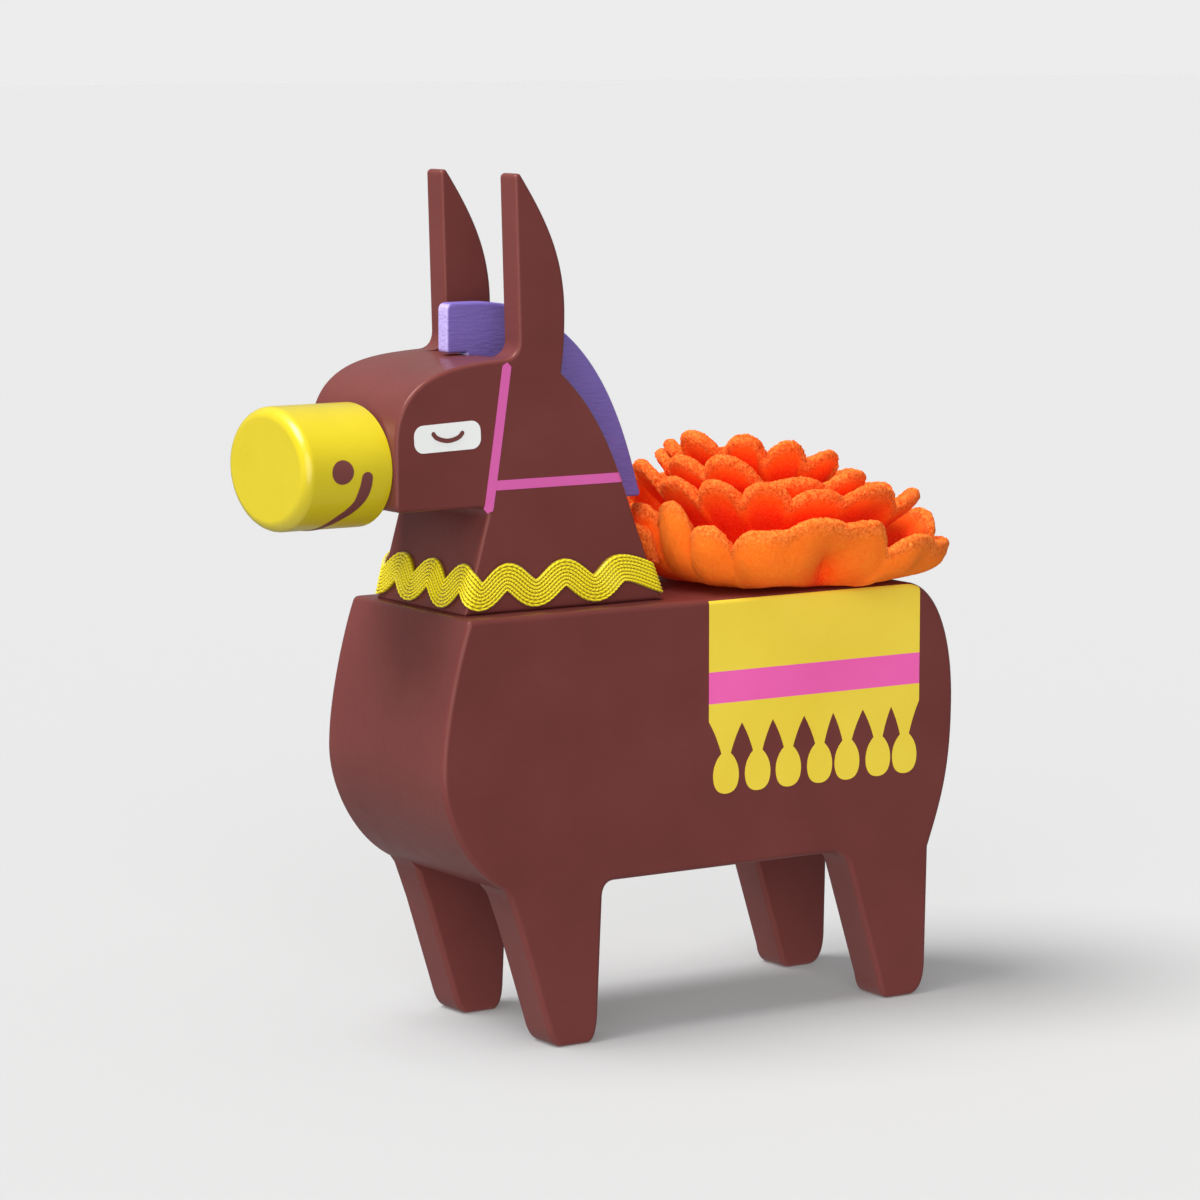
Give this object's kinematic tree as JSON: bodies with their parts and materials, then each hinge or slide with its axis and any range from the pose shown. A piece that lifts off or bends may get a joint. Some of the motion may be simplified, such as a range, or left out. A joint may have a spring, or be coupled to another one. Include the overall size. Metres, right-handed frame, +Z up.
{
  "type": "pinata donkey figure",
  "caption": "Painted wooden donkey figure in pinata style, with a ric-rac collar, a purple mane and a felt flower on its back.",
  "frame": {"origin": "on the surface the feet stand on, under the middle of the figure's box", "axes": "+Z up, -Y the way the nose points, +X the donkey's left side"},
  "size_m": [0.081, 0.184, 0.2057],
  "materials": {
    "brown_paint": "satin brown paint on wood",
    "yellow_paint": "glossy yellow paint on wood",
    "purple_paint": "satin purple paint on coarse grained wood",
    "bare_wood": "bare birch",
    "yellow_braid": "braided rayon ric-rac",
    "orange_felt": "thick fuzzy felt"
  },
  "bodies": {
    "root": {"torso_core": "brown_paint", "left_flank_panel": "brown_paint", "right_flank_panel": "brown_paint", "head_core": "brown_paint", "left_cheek_panel": "brown_paint", "right_cheek_panel": "brown_paint", "mane_slat": "purple_paint", "muzzle": "yellow_paint", "muzzle_dowel": "bare_wood", "neck_dowel_front": "bare_wood", "neck_dowel_rear": "bare_wood", "ricrac_collar": "yellow_braid", "felt_base": "orange_felt", "petal_strip_outer": "orange_felt", "petal_strip_second": "orange_felt", "petal_strip_third": "orange_felt", "petal_strip_inner": "orange_felt", "centre_bud": "orange_felt"}
  },
  "joints": []
}
